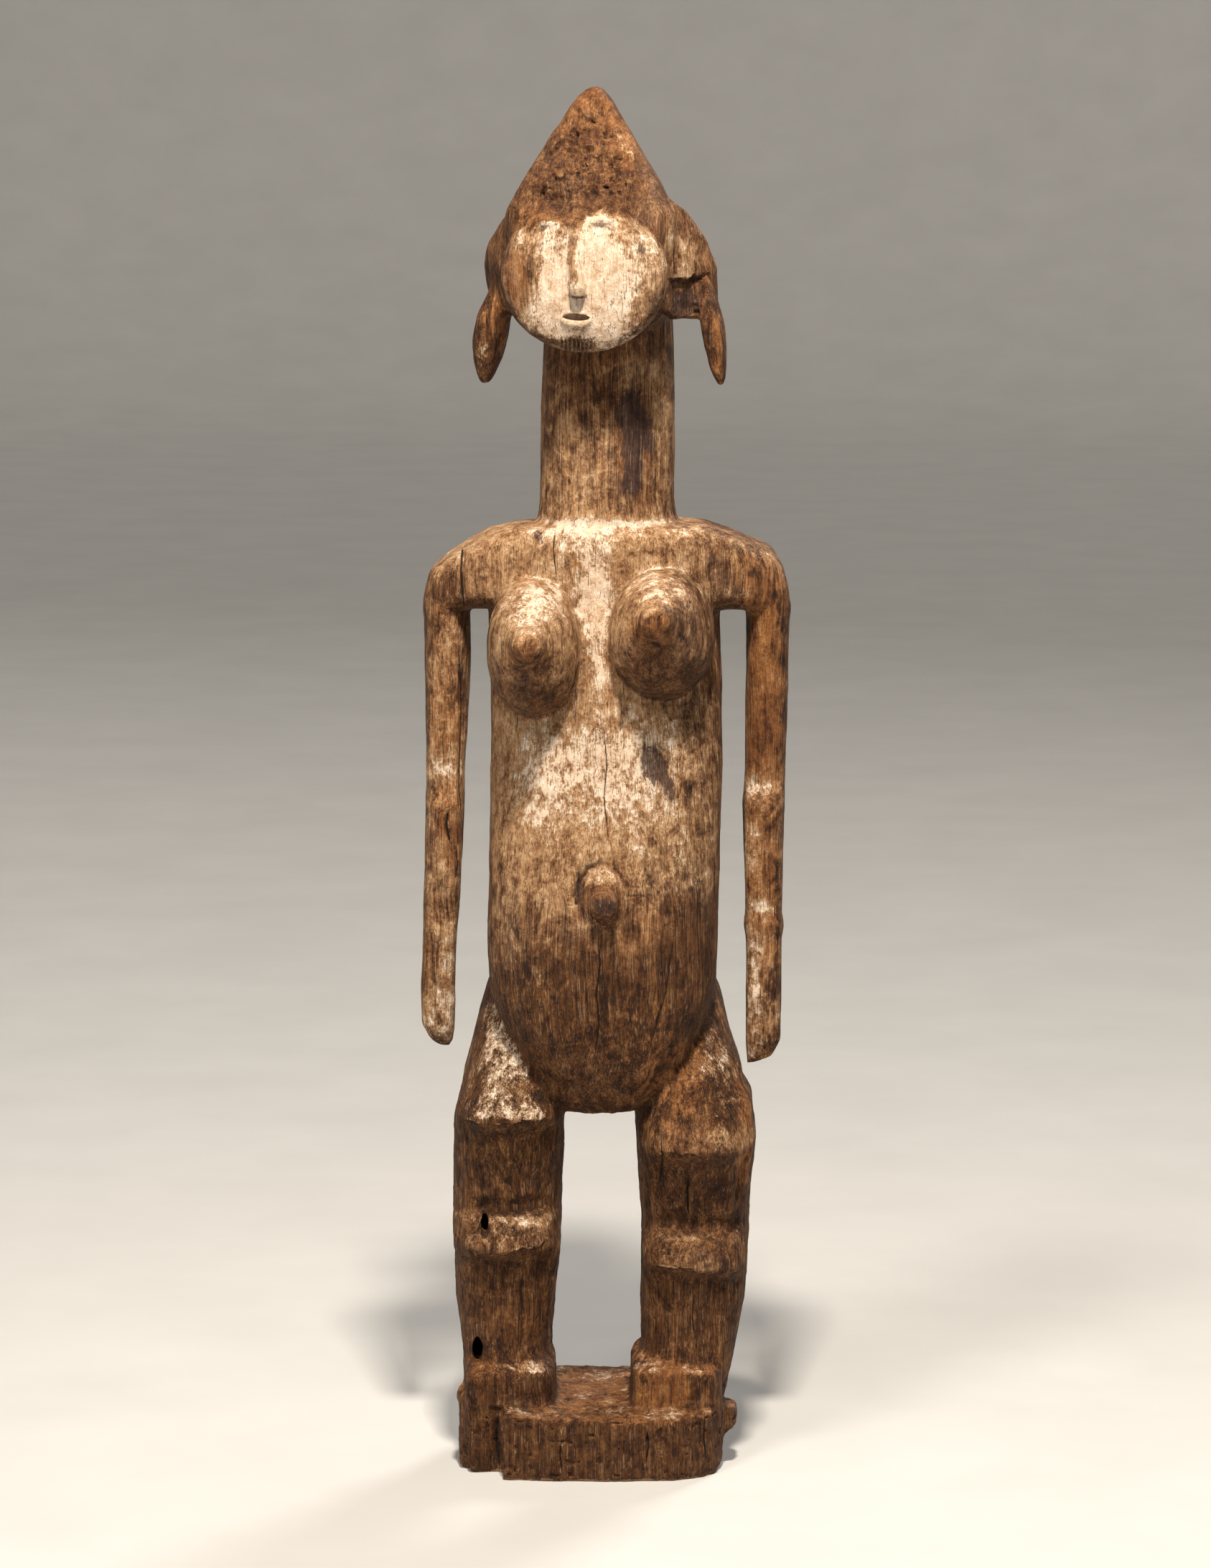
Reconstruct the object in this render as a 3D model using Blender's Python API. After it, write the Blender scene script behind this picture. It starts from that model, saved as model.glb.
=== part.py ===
"""Standing female figure with hanging ear lobes, carved from one log together with its base.

The figure faces -Y and stands on z = 0, with the origin on the ground under its neck.
Its carving is laid out in parts: one part is a millimetre on a figure that rises 951 mm
above its base, so FIGURE_HEIGHT alone rescales everything that stands on the base.
"""

import math

import bmesh
import bpy
import numpy as np

# Driving sizes, in metres
FIGURE_HEIGHT = 0.951
BASE_HEIGHT = 0.049
BASE_LEFT_MARGIN = 0.0015
BASE_RIGHT_MARGIN = 0.002
BASE_FRONT_LEDGE = 0.023
BASE_BACK_LEDGE = 0.024
BASE_EDGE = 0.003
BROKEN_CORNER_WIDTH = 0.028
BROKEN_CORNER_DEPTH = 0.027
HEEL_WIDTH = 0.0215
HEEL_RISE = 0.0245
POST_REACH = 0.006
POST_WIDTH = 0.016
POST_DEPTH = 0.032
POST_RISE = 0.010
LUG_REACH = 0.009
LUG_WIDTH = 0.030
LUG_HEIGHT = 0.021
LUG_DROP = 0.004
HEAD_TURN = math.radians(13)

PARTS_TALL = 951
PART = FIGURE_HEIGHT / PARTS_TALL
NECK_AXIS = 1.5

# Every table row is a slice: height above the base, left, right, front, back, squareness.
# All are in parts, and squareness is 2 for an ellipse and more for a squarer slice.
TORSO = (
    (213, -32, 24, -46, 38, 3),
    (216, -37, 30, -56, 46, 3),
    (228, -49, 45, -68, 56, 3),
    (251, -61, 58, -77, 62, 3.1),
    (276, -74, 71, -84, 63, 3),
    (301, -84, 80, -88, 61, 2.8),
    (341, -85.5, 81.5, -90, 55, 2.6),
    (379, -85.5, 83, -88, 51, 2.5),
    (421, -85, 84.5, -82, 49, 2.4),
    (471, -84, 85, -73, 49, 2.4),
    (521, -84, 85, -66, 50, 2.4),
    (571, -85.5, 83.5, -60, 51, 2.4),
    (601, -83, 81, -54, 50, 2.5),
    (625, -70, 70, -46, 45, 2.6),
)
NECK = (
    (598, -52, 54, -50, 49, 2.2),
    (641, -49.5, 52, -48.5, 47.5, 2.2),
    (655, -47.8, 50, -47.5, 46.5, 2.2),
    (745, -46, 49.5, -46, 45, 2.2),
    (810, -44, 47, -44, 43, 2.2),
)
# Along x instead of up: x, low, high, front, back, squareness
SHOULDERS = (
    (-132, 573, 581, -12, 14, 2.4),
    (-130, 570, 592, -19, 21, 2.4),
    (-121, 571, 611, -28, 30, 2.8),
    (-108, 574, 621, -36, 37, 3.2),
    (-98, 576, 627, -41, 41, 3.6),
    (-85, 578, 633, -46, 44, 4.2),
    (-65, 577, 639, -51, 47, 5),
    (-30, 576, 641.5, -56, 49, 6),
    (30, 576, 641.5, -56, 49, 6),
    (71, 577, 639, -51, 47, 5),
    (91.5, 578, 633, -45, 43, 4.2),
    (102, 576, 628, -40, 40, 3.6),
    (119, 572, 621.5, -32, 34, 3),
    (128, 570, 607, -24, 27, 2.8),
    (132, 569, 590, -17, 20, 2.4),
    (134, 572, 580, -11, 13, 2.4),
)
LEFT_ARM = (
    (607, -126, -104, -24, 26, 2.6),
    (592, -130.5, -99, -28, 30, 2.8),
    (571, -131.2, -97.5, -28, 31, 2.8),
    (541, -131.3, -97, -24, 27, 2.8),
    (506, -131, -98.5, -20, 23, 2.8),
    (461, -131, -101, -18, 19, 2.8),
    (446, -131, -101.5, -18, 18, 2.8),
    (436, -131.4, -102, -22.5, 17, 2.8),
    (401, -132, -103, -22, 14, 2.8),
    (351, -133, -106, -21, 10, 3),
    (341, -133.2, -107, -21.5, 9, 3),
    (301, -134.5, -108.5, -21, 7, 3),
    (273, -134.8, -108.5, -20, 5, 2.8),
    (261, -128, -110, -15, 2, 2.6),
    (256, -121, -113, -10, -3, 2.4),
)
RIGHT_ARM = (
    (607, 106, 128, -24, 26, 2.6),
    (592, 102, 133, -28, 30, 2.8),
    (571, 101, 133.2, -28, 31, 2.8),
    (541, 101, 133, -24, 27, 2.8),
    (506, 101, 132.4, -20, 23, 2.8),
    (463, 100.5, 131.2, -17.5, 19, 2.8),
    (449, 100, 131, -17, 18.5, 2.8),
    (436, 99, 130.7, -23.5, 17, 2.8),
    (423, 99.2, 130.5, -22, 15, 2.8),
    (391, 100, 129.8, -21, 13, 2.8),
    (353, 101, 129, -20, 10.5, 2.8),
    (350, 99.6, 130.4, -22, 12, 2.8),
    (341, 99.6, 130.4, -22, 12, 2.8),
    (338, 101, 129, -20, 10, 3),
    (291, 101.5, 129, -20, 7, 3),
    (261, 102, 128.6, -17, 4, 2.8),
    (248, 102.3, 122, -12, 0, 2.6),
    (243, 102.8, 110, -9, -3, 2.4),
)
LEFT_LEG = (
    (323, -70, -20, -16, 45, 2.2),
    (301, -86, -22, -29, 62, 2.4),
    (276, -93, -24, -42, 74, 2.5),
    (251, -99.5, -26, -55, 80, 2.6),
    (236, -103.5, -27, -63, 79, 2.6),
    (226, -105.5, -27.5, -70, 77, 2.7),
    (216, -108, -28, -79, 73, 2.8),
    (210, -110, -28.5, -78, 70, 2.8),
    (204, -111, -28.8, -71, 67, 2.8),
    (196, -111.3, -29, -66, 63, 2.8),
    (184, -111.6, -29.4, -62, 58, 2.8),
    (166, -112, -30, -57, 51, 2.8),
    (141, -112.2, -30.6, -53, 44, 2.8),
    (136, -112, -30.8, -59, 43, 2.8),
    (120, -111.4, -31.3, -67, 42, 2.8),
    (114, -111.2, -31.5, -68, 42, 2.8),
    (110, -111, -31.6, -64, 42, 2.8),
    (104, -110.8, -32, -58, 42, 2.8),
    (98, -110.7, -32.6, -55, 43, 2.8),
    (72, -110, -35.6, -52, 45, 2.8),
    (49, -107.2, -38, -53, 42, 2.8),
    (26, -105, -38.5, -58, 38, 2.8),
    (0, -104, -38.5, -60, 36, 2.8),
)
RIGHT_LEG = (
    (323, 20, 68, -16, 45, 2.2),
    (296, 20, 84, -30, 64, 2.4),
    (263, 20, 93, -49, 78, 2.5),
    (240, 20, 100.5, -61, 80, 2.6),
    (231, 20, 102, -65, 79, 2.6),
    (223, 20.5, 108, -69, 77, 2.7),
    (208, 21, 109.5, -75, 73, 2.8),
    (193, 22, 109.5, -80, 67, 2.8),
    (187, 22.3, 109.3, -78, 65, 2.8),
    (180, 22.6, 109, -71, 61, 2.8),
    (172, 23, 108.5, -66, 57, 2.8),
    (157, 24, 107, -61, 50, 2.8),
    (130, 25, 105.3, -54, 44, 2.8),
    (125, 25, 105.1, -60, 43, 2.8),
    (108, 24.8, 104.6, -69, 42, 2.8),
    (101, 24.7, 104.3, -69.5, 42, 2.8),
    (96, 24.7, 104, -63, 42, 2.8),
    (90, 24.7, 103.6, -58, 43, 2.8),
    (72, 24.6, 102.5, -54, 44, 2.8),
    (49, 25, 98.5, -54, 42, 2.8),
    (21, 26.7, 93.5, -59, 38, 2.8),
    (0, 27, 89, -61, 36, 2.8),
)
LEFT_FOOT = (
    (0, -101.5, -36, -66, 36, 5),
    (25, -101.5, -36, -66, 36, 5),
    (28, -99.5, -38, -63, 34, 5),
    (35, -96, -43, -50, 30, 4),
)
RIGHT_FOOT = (
    (0, 18, 86, -67, 36, 5),
    (25, 18, 86, -67, 36, 5),
    (28, 20, 84, -64, 34, 5),
    (33, 26, 82, -50, 30, 4),
)
# The head's own frame turns about the neck's axis; its slices also narrow towards the back.
HOOD_BACK_SHARE = 0.6
HOOD = (
    (779, -46, 46, -54, 42, 2.6),
    (789, -58, 58, -66, 48, 2.8),
    (806, -66, 66, -74, 51, 3),
    (831, -71, 71, -78, 47, 3.3),
    (850, -72, 72, -80.5, 40, 3.5),
    (862, -69.5, 69.5, -81, 33, 3.6),
    (882, -57, 57, -76.5, 21, 3.6),
    (902, -43, 43, -70, 7, 3.4),
    (922, -29, 29, -62, -7, 3.2),
    (942, -15, 15, -54.5, -22, 2.8),
    (948, -9, 9, -50, -29, 2.4),
    (951, -3.5, 3.5, -44, -36, 2),
)
EAR_SLANT = 0.6
LEFT_EAR = (
    (864, -58, -50, -60, -46, 2.6),
    (851, -66, -50, -66, -32, 2.8),
    (843, -71.5, -52, -66, -24, 3),
    (835, -75.2, -53, -64, -20, 3),
    (823, -77.5, -54, -62, -14, 3),
    (809, -77, -55, -59, -12, 3),
    (796, -75.5, -55, -54, -11, 2.8),
    (787, -73, -57, -46, -14, 2.4),
)
RIGHT_EAR = (
    (874, 47, 54, -60, -48, 2.4),
    (862, 50, 60.5, -64, -34, 2.8),
    (843, 52, 69.5, -64, -22, 3),
    (823, 54, 75, -62, -14, 3),
    (805, 55, 76.5, -58, -12, 3),
    (793, 57, 77, -53, -12, 2.8),
    (786, 60, 76, -46, -15, 2.4),
)
LEFT_LOBE = (
    (822, -74, -60, -40, -20, 2.6),
    (803, -81, -62, -44, -12, 2.6),
    (789, -88.5, -66, -46, -9, 2.8),
    (777, -92, -67, -46, -9, 2.8),
    (769, -93.2, -68.5, -45, -11, 2.8),
    (757, -92, -71.5, -43, -14, 2.8),
    (746, -89.5, -75.5, -40, -18, 2.8),
    (738, -86.5, -79.5, -36, -23, 2.6),
)
RIGHT_LOBE = (
    (826, 66, 77, -34, -24, 2.6),
    (810, 69, 83, -41, -20, 2.6),
    (798, 72.5, 87.5, -45, -18, 2.6),
    (787, 74.8, 91, -46, -18, 2.8),
    (777, 76.5, 93, -46, -20, 2.8),
    (766, 79, 94, -45, -22, 2.8),
    (754, 82, 94.2, -43, -25, 2.8),
    (744, 85.5, 93.6, -40, -28, 2.8),
    (739, 87.6, 91.8, -37, -31, 2.6),
)
NOSE = (
    (859, -7.5, -1.5, -90, -78, 2.6),
    (850, -7.4, -1.2, -95, -80, 2.6),
    (828, -5.6, 2.4, -99.5, -80, 2.8),
    (811, -4.6, 5, -103, -80, 3),
    (806, -4.6, 5, -101, -80, 3),
)

# Forms that point forward: reach, left, right, low, high, squareness, from a centre
FACE_HEIGHT = 826
FACE = (
    (52, -44, 46, -40, 36, 2),
    (64, -55, 57, -54, 44, 2),
    (74, -60, 61, -61.5, 50, 2),
    (82, -60, 60, -61, 46, 2),
    (87.5, -56, 56, -56, 40, 2),
    (91.5, -46, 46, -46, 32, 2),
    (94.3, -31, 31, -31, 22, 2),
    (95.3, -13, 13, -13, 10, 2),
)
LIPS = (
    (86, -13.5, 13.5, -8, 6, 2.2),
    (92.5, -13, 13, -7.5, 5.5, 2.2),
    (95.2, -11, 11, -5.5, 3.5, 2.2),
)
MOUTH = (
    (87, -9.5, 9.5, -1.6, 2.2, 2),
    (91, -10.5, 10.5, -2, 2.8, 2),
    (105, -10.5, 10.5, -2, 2.8, 2),
)
MOUTH_PLACE = (-1, 790.5)
EYE = (
    (78, -5.5, 5.5, -2.6, 2.6, 2),
    (89.5, -5, 5, -2.4, 2.4, 2),
    (92, -3, 3, -1.2, 1.2, 2),
)
EYE_PLACES = ((-23, 856), (17, 857))
LEFT_BREAST = (
    (30, -33, 34, -50, 50, 2),
    (62, -34, 35, -52, 47, 2.2),
    (80, -31, 31.5, -45, 41, 2.2),
    (94, -25, 25, -33, 35, 2.2),
    (104, -18, 18, -16, 29, 2.1),
    (108, -14, 14, -9, 23, 2),
    (119, -12.5, 12.5, -5.5, 20.5, 2),
    (125, -11, 10.5, -3, 18, 2),
    (128.5, -6.5, 6, 2.5, 12.5, 2),
)
LEFT_BREAST_PLACE = (-48, 556)
LEFT_NIPPLE_DRIFT = -0.055
RIGHT_BREAST = (
    (30, -37, 37, -46, 44, 2),
    (62, -38, 38, -49, 45, 2.2),
    (80, -34, 34, -42, 41, 2.2),
    (94, -27, 27, -29, 37, 2.2),
    (103, -18, 19, -9, 34, 2.1),
    (107, -14, 14.5, -2, 29, 2),
    (116, -12, 12, 1.5, 26, 2),
    (121.5, -10.5, 10.5, 4, 23.5, 2),
    (124.5, -6, 6, 9, 18.5, 2),
)
RIGHT_BREAST_PLACE = (45, 566)
RIGHT_NIPPLE_DRIFT = -0.09
NAVEL = (
    (70, -12, 12, -12, 12, 2.4),
    (91, -11, 11, -11, 11, 2.4),
    (100, -10.3, 10.3, -10.3, 10.3, 2.4),
    (103, -7.5, 7.5, -7.5, 7.5, 2.2),
)
NAVEL_COLLAR = (
    (78, -19, 19, -21, 27, 2),
    (90.5, -17.5, 18, -19, 25, 2),
    (93, -11, 12, -12, 18, 2),
)
NAVEL_PLACE = (-0.8, 376)

# Rotted pockets in the left leg: depth from the front of the figure, and the slit's edges
KNEE_POCKET = (
    (20, -2.6, 2.2, -7, 7, 2.2),
    (90, -3.2, 2.6, -9, 8, 2.2),
)
KNEE_POCKET_PLACE = (-87.5, 134)
ANKLE_POCKET = (
    (5, -4.5, 3.5, -8, 8, 2.4),
    (90, -5.2, 4.4, -12, 11, 2.6),
)
ANKLE_POCKET_PLACE = (-92.5, 39)

WOOD_COLOUR = (0.42, 0.27, 0.15, 1.0)
WOOD_ROUGHNESS = 0.82

UPRIGHT = ((1, 0, 0), (0, 1, 0), (0, 0, 1))
SIDEWAYS = ((0, 0, 1), (0, 1, 0), (1, 0, 0))
FORWARD = ((1, 0, 0), (0, 0, 1), (0, -1, 0))


def clear_scene():
    for thing in list(bpy.data.objects):
        bpy.data.objects.remove(thing, do_unlink=True)


def old_wood():
    material = bpy.data.materials.new("old_wood")
    material.use_nodes = True
    shader = material.node_tree.nodes["Principled BSDF"]
    shader.inputs["Base Color"].default_value = WOOD_COLOUR
    shader.inputs["Roughness"].default_value = WOOD_ROUGHNESS
    shader.inputs["Metallic"].default_value = 0.0
    return material


def rows_between(table, longest):
    """The table's rows, with rows between them wherever they are further apart than longest.

    The added rows lie on curves that pass through each of the table's rows without
    overshooting it, so that a carved edge stays where its rows put it."""
    rows = np.array(sorted(table), float)
    place = rows[:, 0]
    step = np.diff(place)[:, None]
    slope = np.diff(rows, axis=0) / step
    before, after = slope[:-1], slope[1:]
    same_way = before * after > 0
    total = np.where(same_way, before + after, 1)
    tangent = np.zeros_like(rows)
    tangent[1:-1] = np.where(same_way, 2 * before * after / total, 0)
    tangent[0], tangent[-1] = slope[0], slope[-1]
    wanted = [place[0]]
    for low, high in zip(place, place[1:]):
        pieces = math.ceil((high - low) / longest)
        wanted.extend(np.linspace(low, high, pieces + 1)[1:])
    wanted = np.array(wanted)
    index = np.clip(np.searchsorted(place, wanted, side="right") - 1, 0, len(place) - 2)
    width = step[index]
    t = (wanted - place[index])[:, None] / width
    return (
        rows[index] * (1 + 2 * t) * (1 - t) ** 2
        + rows[index + 1] * t**2 * (3 - 2 * t)
        + tangent[index] * width * t * (1 - t) ** 2
        + tangent[index + 1] * width * t**2 * (t - 1)
    )


def slice_outline(row, around, back_share, slant):
    """One closed outline of a slice, counted round from its right-hand side."""
    _, left, right, front, back, square = row
    angle = (np.arange(around) + 0.5) * 2 * math.pi / around
    power = 2 / square
    across = np.sign(np.cos(angle)) * np.abs(np.cos(angle)) ** power
    deep = np.sign(np.sin(angle)) * np.abs(np.sin(angle)) ** power
    narrowing = 1 + (back_share - 1) * (deep + 1) / 2
    half_width, half_depth = (right - left) / 2, (back - front) / 2
    x = (left + right) / 2 + half_width * across * narrowing + slant * half_depth * deep
    return x, (front + back) / 2 + half_depth * deep


def loft(name, table, around, longest, axes=UPRIGHT, place=(0, 0), drift=0, back_share=1, slant=0):
    """A closed carved form through the table's slices, as an object in metres.

    axes says which way the slices' x, y and stacking direction point, place moves the form
    sideways and up, and drift slides it sideways as it reaches forward."""
    mesh = bmesh.new()
    rings = []
    for row in rows_between(table, longest):
        x, y = slice_outline(row, around, back_share, slant)
        points = np.stack([x + drift * row[0], y, np.full(around, row[0])], axis=1) @ np.array(axes)
        points[:, 0] += place[0]
        points[:, 2] += place[1]
        rings.append([mesh.verts.new(p * PART) for p in points])
    for lower, upper in zip(rings, rings[1:]):
        for i in range(around):
            j = (i + 1) % around
            mesh.faces.new((lower[i], lower[j], upper[j], upper[i]))
    mesh.faces.new(rings[0])
    mesh.faces.new(rings[-1])
    bmesh.ops.recalc_face_normals(mesh, faces=mesh.faces)
    data = bpy.data.meshes.new(name)
    mesh.to_mesh(data)
    mesh.free()
    thing = bpy.data.objects.new(name, data)
    thing.location = (0, 0, BASE_HEIGHT)
    bpy.context.scene.collection.objects.link(thing)
    return thing


def block(name, low, high, square, around=24, edge=0.0):
    """A rounded block in metres, from its low corner to its high corner."""
    table = (
        (low[2], low[0] + edge, high[0] - edge, low[1] + edge, high[1] - edge, square),
        (low[2] + edge, low[0], high[0], low[1], high[1], square),
        (high[2] - edge, low[0], high[0], low[1], high[1], square),
        (high[2], low[0] + edge, high[0] - edge, low[1] + edge, high[1] - edge, square),
    )
    in_parts = [tuple(v / PART for v in row[:5]) + (row[5],) for row in table]
    thing = loft(name, in_parts, around, PARTS_TALL)
    thing.location = (0, 0, 0)
    return thing


def turn_with_head(pieces):
    """Turns the head's pieces about the neck's axis."""
    for piece in pieces:
        piece.rotation_euler = (0, 0, -HEAD_TURN)
        piece.location.x = NECK_AXIS * PART
    return pieces


def make_head():
    eyes = [
        loft(f"eye_{n}", EYE, 10, 20, FORWARD, place)
        for n, place in enumerate(EYE_PLACES, start=1)
    ]
    return turn_with_head([
        loft("hood", HOOD, 32, 30, back_share=HOOD_BACK_SHARE),
        loft("face", FACE, 32, 20, FORWARD, (0, FACE_HEIGHT)),
        loft("left_ear", LEFT_EAR, 16, 20, slant=-EAR_SLANT),
        loft("right_ear", RIGHT_EAR, 16, 20, slant=EAR_SLANT),
        loft("left_lobe", LEFT_LOBE, 12, 20),
        loft("right_lobe", RIGHT_LOBE, 12, 20),
        loft("nose", NOSE, 10, 30),
        loft("lips", LIPS, 16, 30, FORWARD, MOUTH_PLACE),
        *eyes,
    ])


def make_body():
    left_drift = {"place": LEFT_BREAST_PLACE, "drift": LEFT_NIPPLE_DRIFT}
    right_drift = {"place": RIGHT_BREAST_PLACE, "drift": RIGHT_NIPPLE_DRIFT}
    return [
        loft("neck", NECK, 28, 50),
        loft("shoulders", SHOULDERS, 20, 60, SIDEWAYS),
        loft("left_breast", LEFT_BREAST, 20, 40, FORWARD, **left_drift),
        loft("right_breast", RIGHT_BREAST, 20, 40, FORWARD, **right_drift),
        loft("navel_collar", NAVEL_COLLAR, 18, 30, FORWARD, NAVEL_PLACE),
        loft("navel", NAVEL, 12, 30, FORWARD, NAVEL_PLACE),
    ]


def make_limbs():
    return [
        loft("left_arm", LEFT_ARM, 14, 60),
        loft("right_arm", RIGHT_ARM, 14, 60),
        loft("left_leg", LEFT_LEG, 20, 30),
        loft("right_leg", RIGHT_LEG, 20, 30),
        loft("left_foot", LEFT_FOOT, 20, 30),
        loft("right_foot", RIGHT_FOOT, 20, 30),
    ]


def base_sides():
    """The base's left, right, front and back, set out from the feet that stand on it."""
    feet = LEFT_FOOT + RIGHT_FOOT
    left = min(row[1] for row in feet) * PART - BASE_LEFT_MARGIN
    right = max(row[2] for row in feet) * PART + BASE_RIGHT_MARGIN
    front = min(row[3] for row in feet) * PART - BASE_FRONT_LEDGE
    back = max(row[4] for row in feet) * PART + BASE_BACK_LEDGE
    return left, right, front, back


def make_drum():
    left, right, front, back = base_sides()
    return [block("base", (left, front, 0), (right, back, BASE_HEIGHT), 4, 40, BASE_EDGE)]


def make_broken_corner():
    left, _, front, _ = base_sides()
    beyond = 0.02
    low = (left - beyond, front - beyond, -beyond)
    high = (left + BROKEN_CORNER_WIDTH, front + BROKEN_CORNER_DEPTH, BASE_HEIGHT + beyond)
    return [block("broken_corner", low, high, 20, 24, BASE_EDGE / 10)]


def make_side_pieces():
    """What the weathered base keeps at its sides: a heel, a split post and a worn lug."""
    left, right, front, _ = base_sides()
    heel_inset = 0.001
    heel_front = front + BASE_FRONT_LEDGE + heel_inset / 2
    heel_low = (left + heel_inset, heel_front, 0)
    heel_high = (left + heel_inset + HEEL_WIDTH, heel_front + 2 * HEEL_WIDTH, BASE_HEIGHT + HEEL_RISE)
    post_front = heel_front + HEEL_WIDTH / 2
    post_low = (left - POST_REACH, post_front, 0)
    post_high = (left - POST_REACH + POST_WIDTH, post_front + POST_DEPTH, BASE_HEIGHT + POST_RISE)
    lug_front = post_front + HEEL_WIDTH / 2
    lug_top = BASE_HEIGHT - LUG_DROP
    lug_low = (right - LUG_REACH, lug_front, lug_top - LUG_HEIGHT)
    lug_high = (right + LUG_REACH, lug_front + LUG_WIDTH, lug_top)
    return [
        block("post", post_low, post_high, 3, 14, BASE_EDGE),
        block("heel", heel_low, heel_high, 6, 16, BASE_EDGE),
        block("lug", lug_low, lug_high, 2.6, 14, BASE_EDGE),
    ]


def make_openings():
    """The mouth, and the pockets that rot left in one leg."""
    mouth = turn_with_head([loft("mouth", MOUTH, 12, 30, FORWARD, MOUTH_PLACE)])
    return mouth + [
        loft("knee_pocket", KNEE_POCKET, 10, 90, FORWARD, KNEE_POCKET_PLACE),
        loft("ankle_pocket", ANKLE_POCKET, 10, 90, FORWARD, ANKLE_POCKET_PLACE),
    ]


def carve(figure, pieces, operation):
    """Joins pieces to the figure, or cuts them out of it, and keeps them as hidden guides."""
    for piece in pieces:
        modifier = figure.modifiers.new(piece.name, "BOOLEAN")
        modifier.operation = operation
        modifier.solver = "EXACT"
        modifier.object = piece
        piece.hide_render = True
        piece.display_type = "WIRE"


def main():
    clear_scene()
    figure = loft("figure", TORSO, 32, 50)
    carve(figure, make_drum(), "UNION")
    carve(figure, make_broken_corner(), "DIFFERENCE")
    carve(figure, make_side_pieces() + make_limbs() + make_body() + make_head(), "UNION")
    carve(figure, make_openings(), "DIFFERENCE")
    facets = figure.modifiers.new("facets", "TRIANGULATE")
    facets.quad_method = "BEAUTY"
    facets.ngon_method = "BEAUTY"
    figure.data.materials.append(old_wood())
    figure.data.shade_smooth()
    figure.data.set_sharp_from_angle(angle=math.radians(35))


main()
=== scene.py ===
"""The weathered surface of a standing wooden figure: one carved piece with its grain, tool marks,
cracks, worn edges and pale coating, on a plain floor under soft light."""

import itertools
import math

import bpy
import numpy as np
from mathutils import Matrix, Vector


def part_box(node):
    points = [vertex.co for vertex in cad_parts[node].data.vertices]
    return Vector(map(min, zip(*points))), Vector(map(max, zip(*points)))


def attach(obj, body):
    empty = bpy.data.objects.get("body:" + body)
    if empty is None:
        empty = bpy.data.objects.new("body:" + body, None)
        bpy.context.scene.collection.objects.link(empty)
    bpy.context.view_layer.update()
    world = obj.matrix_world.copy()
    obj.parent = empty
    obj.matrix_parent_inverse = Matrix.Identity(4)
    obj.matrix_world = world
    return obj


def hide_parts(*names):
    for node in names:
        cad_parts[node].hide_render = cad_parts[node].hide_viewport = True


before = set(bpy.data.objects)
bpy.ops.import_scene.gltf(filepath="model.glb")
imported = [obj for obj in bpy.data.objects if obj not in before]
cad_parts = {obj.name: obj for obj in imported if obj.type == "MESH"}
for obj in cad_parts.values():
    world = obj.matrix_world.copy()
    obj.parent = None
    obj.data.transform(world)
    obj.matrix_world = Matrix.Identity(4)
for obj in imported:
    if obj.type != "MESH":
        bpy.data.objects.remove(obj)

MM = 0.001

# The carving's mesh: its voxels in millimetres, its most triangles, and the rounds of smoothing
# at carved edges, on plain places and on the roundest forms
VOXEL = 1.4
MOST_TRIANGLES = 194000
CRISP_ROUNDS = 3
SOFT_ROUNDS = 34
ROUND_ROUNDS = 130

# Heights in millimetres: below the first the underside is flat, and between the other two the
# wear up and down fades in
FLAT_BELOW = 0.8
UNDERSIDE_FADE = (0.5, 6)

# Heights on the figure, in millimetres
BASE_TOP = 49
CROTCH = 262
ARM_BOTTOM = 285
ARM_TOP = 655
SHOULDER_TOP = 690
CHIN = 815
BROW = 907
NOSE_TOP = 902
TRUNK_HALF_WIDTH = 86

# The face plate in the front view; the ends and spacing of the strokes cut in its chin, and the
# turn a millimetre of the dark lines in them
FACE_CENTRE = (-14, 866)
FACE_RADII = (61, 56)
STROKES_LEFT = -32
STROKES_RIGHT = -7
STROKE_SPACING = 2.9
STROKE_TURN = 2.35

# The camera, in metres
CAMERA_PLACE = (0, -3.7, 1.053)
CAMERA_TARGET = (0, 0, 0.4968)
CAMERA_LENS = 118.5
CAMERA_SENSOR = 36

# Lights: name, azimuth and elevation in degrees, power, colour, and width or none for a sun
LIGHTS = (
    ("sun", -35, 48, 1.2, (1.0, 0.93, 0.84), None),
    ("back", 150, 38, 1.5, (1.0, 0.96, 0.91), None),
    ("key", 3, 57, 92, (1.0, 0.9, 0.77), 0.2),
)
LIGHT_TARGET = (0, 0, 0.75)
LIGHT_DISTANCE = 2.0
SUN_ANGLE = 14
SKY_COLOUR = (0.62, 0.59, 0.55)
SKY_STRENGTH = 0.16

# The round floor and the low wall it curves up into, in metres
FLOOR_RADIUS = 9
WALL_CURVE = 3
WALL_TOP = 7
FLOOR_SIDES = 96

# Small forms that keep their shape when the rest is softened: centre and radii
KEPT_FORMS = (
    ((-18, -95, 846), (22, 26, 16)),
    ((-42, -90, 905), (11, 26, 7)),
    ((-3, -90, 906), (11, 26, 7)),
    ((-24, -92, 890), (8, 24, 14)),
    ((-20, -95, 866), (11, 24, 16)),
    ((-88, -20, 183), (9, 90, 16)),
    ((-92, -20, 88), (10, 90, 18)),
    ((-1, -95, 426), (17, 16, 17)),
    ((-56, -122, 613), (15, 14, 15)),
    ((34, -118, 630), (15, 14, 15)),
    ((-83, -35, 816), (14, 40, 26)),
    ((80, -55, 816), (14, 40, 26)),
)

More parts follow.
